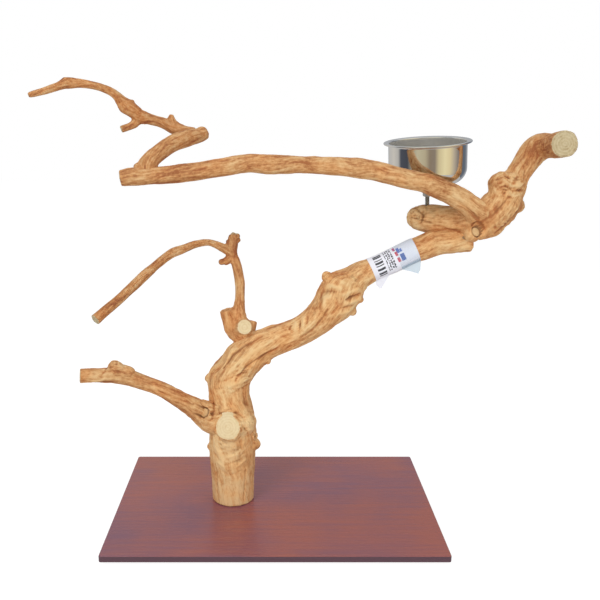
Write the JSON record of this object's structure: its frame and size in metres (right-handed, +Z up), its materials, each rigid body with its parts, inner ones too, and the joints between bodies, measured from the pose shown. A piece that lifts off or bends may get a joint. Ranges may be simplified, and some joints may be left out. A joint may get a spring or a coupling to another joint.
{
  "type": "parrot play stand",
  "caption": "Tabletop parrot play stand: branching bark-free wooden perches on a flat board, with a steel food cup that screws onto a stud.",
  "frame": {"origin": "on the table, under the middle of the board", "axes": "+Z up, +X to the stand's right as its front is looked at, +Y to its back"},
  "size_m": [0.6863, 0.3, 0.6048],
  "materials": {
    "coffee_wood": "sand-blasted, unsealed",
    "plug_wood": "cut end grain",
    "stained_board": "stained plywood, satin varnish",
    "foot_rubber": "matte",
    "screw_steel": "zinc plated",
    "plain_steel": "plain stainless steel",
    "polished_steel": "polished stainless steel",
    "label_paper": "coated paper",
    "clear_film": "clear film"
  },
  "bodies": {
    "stand": {"base_board": "stained_board", "rubber_feet": "foot_rubber", "foot_screws": "screw_steel", "trunk_screws": "screw_steel", "trunk": "coffee_wood", "low_perch": "coffee_wood", "low_perch_screw": "screw_steel", "low_perch_plug": "plug_wood", "arch_perch": "coffee_wood", "arch_perch_screw": "screw_steel", "arch_perch_plug": "plug_wood", "crown": "coffee_wood", "crown_screw": "screw_steel", "crown_plug": "plug_wood", "zig_perch": "coffee_wood", "zig_perch_screw": "screw_steel", "tip_perch": "coffee_wood", "tip_perch_screw": "screw_steel", "cup_stud": "plain_steel", "price_label": "label_paper", "label_film": "clear_film"},
    "cup_boss": {"cup_boss": "plain_steel"},
    "cup_bowl": {"cup_bowl": "polished_steel"},
    "cup_washer": {"cup_washer": "plain_steel"},
    "jam_nut": {"jam_nut": "plain_steel"}
  },
  "joints": [
    {"name": "cup_rise", "type": "slide", "parent": "stand", "child": "cup_boss", "axis": [-0.0576, -0.0974, 0.9936], "range_m": [0, 0.0084]},
    {"name": "cup_turn", "type": "hinge", "parent": "cup_boss", "child": "cup_bowl", "pos_m": [0.21264, 0.04397, 0.43947], "axis": [-0.0576, -0.0974, 0.9936], "range_deg": [0, 2340]},
    {"name": "nut_drop", "type": "slide", "parent": "stand", "child": "cup_washer", "axis": [-0.0576, -0.0974, 0.9936], "range_m": [-0.0115, 0]},
    {"name": "nut_turn", "type": "hinge", "parent": "cup_washer", "child": "jam_nut", "pos_m": [0.21264, 0.04397, 0.43947], "axis": [-0.0576, -0.0974, 0.9936], "range_deg": [-3240, 0]}
  ],
  "couplings": [
    {"joint": "cup_rise", "follows": "cup_turn", "m_per_rad": 0.00020213},
    {"joint": "nut_drop", "follows": "nut_turn", "m_per_rad": 0.00020213}
  ]
}
